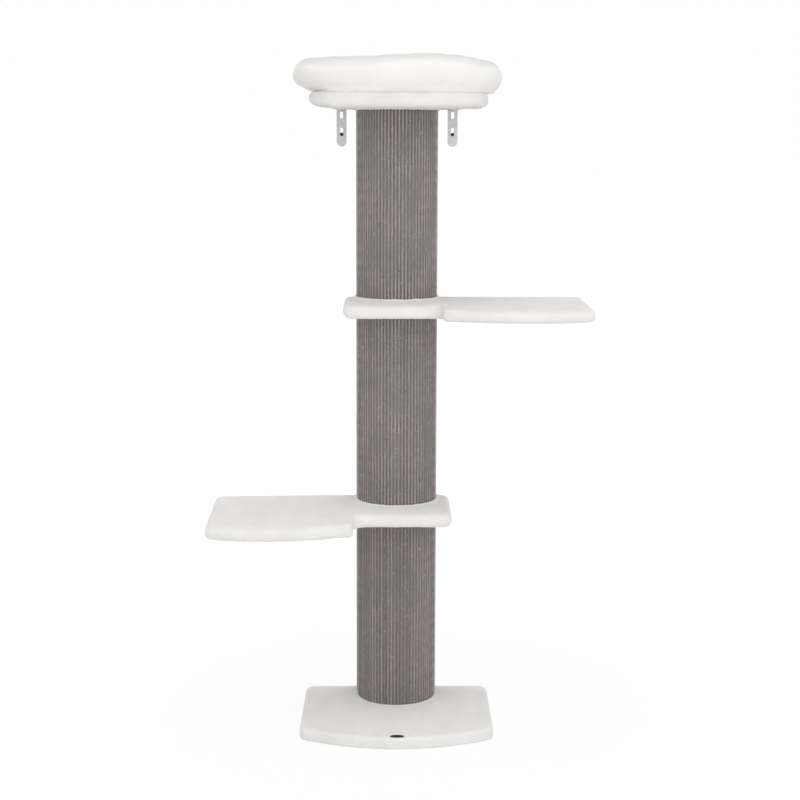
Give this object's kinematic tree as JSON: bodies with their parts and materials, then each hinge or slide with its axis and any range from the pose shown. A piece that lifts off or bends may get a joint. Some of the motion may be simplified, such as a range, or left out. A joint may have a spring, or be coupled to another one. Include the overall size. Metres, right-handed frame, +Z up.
{
  "type": "wall mounted cat tree",
  "caption": "Tall cat tree that stands against a wall: D-shaped sisal column on a plush base, plush platforms reaching out to both sides, a padded bed on top and slotted wall brackets.",
  "frame": {"origin": "floor level, on the column's centre line, midway between the bed's front and the points of the wall screws", "axes": "+X across the front towards the upper platform's wing, +Y towards the wall, +Z up"},
  "size_m": [0.9044, 0.415, 1.592],
  "materials": {
    "plush": "short white plush",
    "stuffed_plush": "white plush over soft filling",
    "back_cloth": "pale felt cloth",
    "sisal": "grey ribbed sisal weave",
    "wood_board": "raw chipboard",
    "tube_board": "wound brown board",
    "felt": "grey felt",
    "dark_plate": "dark satin enamel",
    "bracket_steel": "pale grey powder coat",
    "black_steel": "black coated steel",
    "zinc_steel": "zinc plated"
  },
  "bodies": {
    "tree": {"base_board": "wood_board", "base_bolts": "zinc_steel", "base_cover": "plush", "base_foot_pads": "felt", "base_washers": "zinc_steel", "bed_board": "wood_board", "bed_bolster": "stuffed_plush", "bed_bolts": "zinc_steel", "bed_cover": "plush", "bed_washers": "zinc_steel", "bracket_screws": "zinc_steel", "left_wall_bracket": "bracket_steel", "lower_joint_stud": "zinc_steel", "lower_platform_board": "wood_board", "lower_platform_cover": "plush", "lower_post_back_cover": "back_cloth", "lower_post_back_panel": "wood_board", "lower_post_bottom_plate": "wood_board", "lower_post_shell": "tube_board", "lower_post_sisal": "sisal", "lower_post_tee_nuts": "zinc_steel", "lower_post_top_plate": "wood_board", "middle_post_back_cover": "back_cloth", "middle_post_back_panel": "wood_board", "middle_post_bottom_plate": "wood_board", "middle_post_shell": "tube_board", "middle_post_sisal": "sisal", "middle_post_tee_nuts": "zinc_steel", "middle_post_top_plate": "wood_board", "name_plate": "dark_plate", "right_wall_bracket": "bracket_steel", "upper_joint_stud": "zinc_steel", "upper_platform_board": "wood_board", "upper_platform_cover": "plush", "upper_post_back_cover": "back_cloth", "upper_post_back_panel": "wood_board", "upper_post_bottom_plate": "wood_board", "upper_post_shell": "tube_board", "upper_post_sisal": "sisal", "upper_post_tee_nuts": "zinc_steel", "upper_post_top_plate": "wood_board"},
    "cushion": {"bed_cushion": "stuffed_plush"},
    "wall_fixings": {"wall_screws": "black_steel"}
  },
  "joints": [
    {"name": "bed_cushion_lift", "type": "slide", "parent": "tree", "child": "cushion", "axis": [0, 0, 1], "range_m": [0, 0.16]},
    {"name": "wall_screw_travel", "type": "slide", "parent": "tree", "child": "wall_fixings", "axis": [0, 0, 1], "range_m": [0, 0.0134]}
  ]
}
